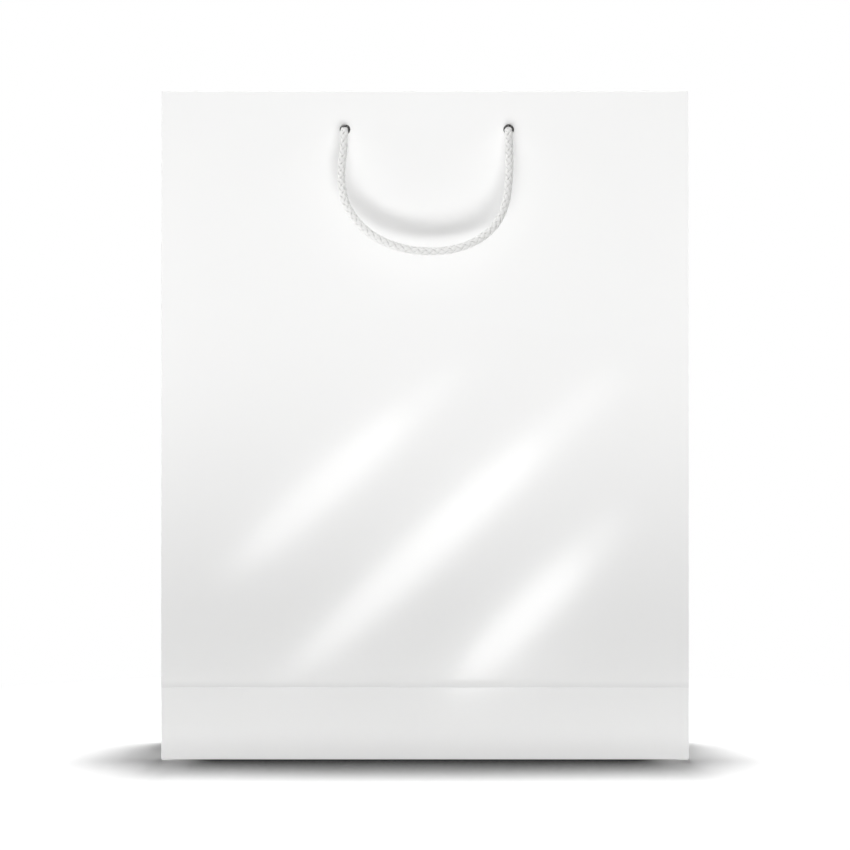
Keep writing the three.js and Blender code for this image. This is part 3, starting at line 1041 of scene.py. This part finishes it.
# painted shade: yarn behind the hem that the paper closes in is painted nearly black, for the dark holes
closed_in = spread(tree, closeness(tree, 25 * MM, samples=4), 0.3, 0.65, 1.0, 0.0)
painted_hole_shade = calculate(tree, "MULTIPLY", attribute(tree, "behind_the_hem"), closed_in)
colour = mix_colours(tree, tint, bright_yarn, shaded_yarn)
fill_sockets(tree, shader, {
    "Base Color": mix_colours(tree, painted_hole_shade, colour, shade_painted_yarn),
    "Roughness": spread(tree, yarn, 0.3, 0.7, 0.55, 0.75),
    "Sheen Weight": 0.15,
    "Specular IOR Level": 0.35,
    "Normal": bump(tree, yarn, 0.06 * MM),
})
braids = [*handles.values(), *knots_on["front"], *knots_on["back"]]
for piece in braids:
    piece.data.materials.append(white_yarn)
print("braids finished with", white_yarn.name, len(braids))

# %% [markdown]
# ## Floor
# The bag stands on a plain white floor. Near the bag it is matt and shows the shadow, and its colour is
# painted darker, as painted shade, in the narrow corner below each wide panel; that painted shade ends
# short of the bag's corners and fans out in front of them. Further away the camera sees plain white. The
# floor throws a dim, even light back on the bag, as under a large tent of cloth.

# %% Floor
def seen_directly(tree):
    """One for rays that show a background: from the camera, from a gloss or through something clear."""
    rays = node(tree, "ShaderNodeLightPath", {}).outputs
    seen = calculate(tree, "MAXIMUM", rays["Is Camera Ray"], rays["Is Glossy Ray"])
    return calculate(tree, "MAXIMUM", seen, rays["Is Transmission Ray"])


def glow(tree, kind, strength):
    """A plain white emission, or a plain white background."""
    return node(tree, kind, {"Color": (1.0, 1.0, 1.0, 1.0), "Strength": strength}).outputs[0]


def choose(tree, share, first, second):
    """A mix of two shaders."""
    return node(tree, "ShaderNodeMixShader", {0: share, 1: first, 2: second}).outputs[0]


floor_light = 0.34
floor_half = 4.0
floor_white = (0.9, 0.9, 0.9)
floor_shade = (0.02, 0.02, 0.02)
shade_reach = 0.12
shade_full = 0.47
shade_ends = (half_width - 34 * MM, half_width - 6 * MM)
fan_slopes = (-0.5, 0.4)
plain_floor = (0.3, 0.5)
floor_points = floor_half * np.array([[-1, -1, 0], [1, -1, 0], [1, 1, 0], [-1, 1, 0]])
floor = new_object("floor", floor_points, [[0, 1, 2, 3]])
material, tree, shader, place = start_material("white_floor")
floor.data.materials.append(material)
# painted shade: the floor's colour goes dark where the bag closes it in, below the wide panels
open_sky = {"Value": closeness(tree, shade_reach, samples=8), "From Min": shade_full, "From Max": 1.0}
lit = node(tree, "ShaderNodeMapRange", open_sky).outputs[0]
apart = node(tree, "ShaderNodeSeparateXYZ", {"Vector": place}).outputs
sideways = calculate(tree, "ABSOLUTE", apart["X"])
outwards = calculate(tree, "SUBTRACT", calculate(tree, "ABSOLUTE", apart["Y"]), half_depth)
outwards = calculate(tree, "MAXIMUM", outwards, 0.0)
fan = [calculate(tree, "MULTIPLY_ADD", outwards, slope, end) for slope, end in zip(fan_slopes, shade_ends)]
lit = calculate(tree, "MAXIMUM", lit, spread(tree, sideways, *fan))
fill_sockets(tree, shader, {
    "Base Color": mix_colours(tree, lit, floor_shade, floor_white),
    "Roughness": 1.0,
    "Specular IOR Level": 0.0,
})
from_middle = node(tree, "ShaderNodeVectorMath", {0: place}, operation="LENGTH").outputs["Value"]
plain = glow(tree, "ShaderNodeEmission", 1.0)
thrown_back = glow(tree, "ShaderNodeEmission", floor_light)
near_or_far = choose(tree, spread(tree, from_middle, *plain_floor), shader.outputs["BSDF"], plain)
fill_sockets(tree, tree.nodes["Material Output"], {
    "Surface": choose(tree, seen_directly(tree), thrown_back, near_or_far),
})
print("nodes in the floor's finish:", len(tree.nodes))

# %% [markdown]
# ## Background
# The floor runs out into a white background. The camera and the gloss see it as plain white, but it gives
# the bag only a faint fill, so that its white stays with the lamps and doesn't clip.

# %% World
fill_strength = 0.1
world = bpy.data.worlds.new("white_studio")
bpy.context.scene.world = world
world.use_nodes = True
tree = world.node_tree
fill = glow(tree, "ShaderNodeBackground", fill_strength)
backdrop = glow(tree, "ShaderNodeBackground", 1.0)
fill_sockets(tree, tree.nodes["World Output"], {
    "Surface": choose(tree, seen_directly(tree), fill, backdrop),
})
bpy.context.scene.view_settings.view_transform = "Standard"
print("fill light from the background:", fill_strength)

# %% [markdown]
# ## Light
# The photograph has even, almost shadowless light: the panel fades a little towards the base, the only
# shadow on it is the handle's, thrown upwards, and the floor shows a narrow one. No single lamp does that,
# so each lamp lights one thing. Blender calls this light linking: a lamp has a collection that it lights,
# and it may have one that alone holds its light back.

# %% Lamps that light one thing each
def collection_of(name, pieces):
    """A collection that only says which pieces a lamp lights or which ones hold its light back."""
    made = bpy.data.collections.new(name)
    for piece in pieces:
        made.objects.link(piece)
    return made


def softbox(name, place, aim, size, radiance, lights, turn=None, blocked_by=None, shape="RECTANGLE"):
    """A lamp of that radiance which lights one collection and which nothing mirrors. It is aimed at a
    point or turned by three angles, and everything casts a shadow in its light, or only the collection
    that it is blocked by. Its energy is its radiance times pi times its area."""
    lamp = bpy.data.lights.new(name, "AREA")
    lamp.shape = shape
    lamp.size, lamp.size_y = size
    lamp.energy = radiance * math.pi * size[0] * size[1]
    made = bpy.data.objects.new(name, lamp)
    made.location = place
    made.rotation_euler = turn or (Vector(aim) - Vector(place)).to_track_quat("-Z", "Y").to_euler()
    made.visible_camera = False
    made.visible_glossy = False
    made.light_linking.receiver_collection = lights
    made.light_linking.blocker_collection = blocked_by
    bpy.context.scene.collection.objects.link(made)
    return made


paper_pieces = [folded_sheet, base_card, *rim_cards]
the_sheet = collection_of("the_sheet", paper_pieces)
the_handles = collection_of("the_handles", handles.values())
sheet_and_handles = collection_of("sheet_and_handles", [*paper_pieces, *handles.values()])
the_floor = collection_of("the_floor", [floor])
print("pieces of paper and card:", len(paper_pieces))

# %% [markdown]
# A small lamp high above draws the shadow on the floor. The sheet's main light lies on the floor in front
# and shines upwards, which throws the handle's shadow up the panel; strips at the foot, above the rim and
# beside the edges make the panel even. Big soft boxes light the sides, the back and the mouth. The handles
# have a low lamp at the left and one above, and the knots one across the mouth.

# %% Lamps for the floor, the sheet, the handles and the knots
front = -half_depth
bag_middle = (0, 0, bag_height / 2)
low_turn = (math.pi, 0, math.radians(25))
# each lamp's name, place, aim, size and radiance, and what it lights
softbox("softbox_above", (0.02, 0.2, 1.9), (0.02, 0.2, 0), (0.34, 0.46), 101.0, the_floor, shape="ELLIPSE")
softbox("low_panel", (-0.02, -0.585, 0.004), None, (0.4, 0.36), 10.9, the_sheet, turn=low_turn)
softbox("low_strip", (0, front - 0.07, 0.003), (0, front, 0.003), (0.5, 0.02), 4.6, the_sheet)
softbox("high_strip", (0, front - 0.15, 0.52), (0, front, bag_height), (0.6, 0.03), 1.75, the_sheet,
        blocked_by=the_sheet)
softbox("cord_light", (-0.22, -0.66, 0.12), (-0.02, -0.12, 0.45), (0.5, 0.25), 9.3, the_handles)
softbox("softbox_behind", (0.5, 1.6, 0.8), bag_middle, (0.9, 0.9), 7.2, sheet_and_handles)
for side in (-1, 1):
    softbox(f"edge_strip_{side}", (side * 0.3, front - 0.12, 0.2), (side * 0.1, front, 0.2), (0.04, 0.42),
            2.55, the_sheet, blocked_by=the_sheet)
    softbox(f"softbox_side_{side}", (side * 1.5, front, 0.5), bag_middle, (0.8, 0.8), 3.2,
            sheet_and_handles)
softbox("softbox_mouth", (0, 0, 1.6), bag_middle, (0.8, 0.8), 9.5, the_sheet, blocked_by=the_sheet)
softbox("cord_top_light", (0, 0, 1.6), bag_middle, (0.8, 0.8), 6.6, the_handles)
for panel, sign in panel_signs.items():
    knots = collection_of(f"{panel}_knots", knots_on[panel])
    holes = (0, sign * face_depth, hole_height)
    softbox(f"knot_light_{panel}", (0, -sign * 0.5, 1.0), holes, (0.3, 0.3), 14.0, knots)
print("lamps:", len(bpy.data.lights))

# %% [markdown]
# ## Gloss streaks
# The film mirrors three slanted strips of light, so there is a strip lamp for each that only the gloss
# shows. Its place follows from the streak's two ends on the panel: the mirror picture grows with the lamp's
# distance from the panel, and moves because the panel leans back. A long layer and a brighter, shorter one
# make the soft ends. The light of a strip spreads little, so that it doesn't flare along the panel.

# %% Strips for the gloss
streak_distance = 0.3
streak_width = 0.028
streak_light = (1.12, 1.5, 1.9)
streak_spread = math.radians(100)
# each streak's lower and upper end on the panel, across and up
streak_ends = MM * np.array([[[-127, 103], [24, 239]], [[-94, 36], [121, 236]], [[12, 30], [121, 148]]])
# each layer's share of the length, its share of the light and its shift along the streak
streak_layers = ((1.0, 0.45, 0.0), (0.68, 0.55, -0.06))
layer_gap = 2 * MM
mirror_scale = 1 + streak_distance / camera_distance
panel_lean = (half_depth - panel_depth(bag_height)) / (bag_height - crease_height)
mirror_rise = 2 * panel_lean * streak_distance - bag_height / 2 * (mirror_scale - 1)
for number, (ends, light) in enumerate(zip(streak_ends, streak_light)):
    (low_x, low_z), (high_x, high_z) = ends * mirror_scale + [0, mirror_rise]
    run_x = high_x - low_x
    run_z = high_z - low_z
    streak_length = math.hypot(run_x, run_z)
    turn = (math.pi / 2, -math.atan2(run_z, run_x), 0)
    for layer, (part, share, shift) in enumerate(streak_layers):
        place = ((low_x + high_x) / 2 + shift * run_x, front - streak_distance - layer * layer_gap,
                 (low_z + high_z) / 2 + shift * run_z)
        strip = softbox(f"gloss_strip_{number}", place, None, (part * streak_length, streak_width),
                        share * light, the_sheet, turn=turn, shape="ELLIPSE")
        strip.visible_glossy = True
        strip.visible_diffuse = False
        strip.data.spread = streak_spread
    print(f"streak {number}: {streak_length:.3f} m long")
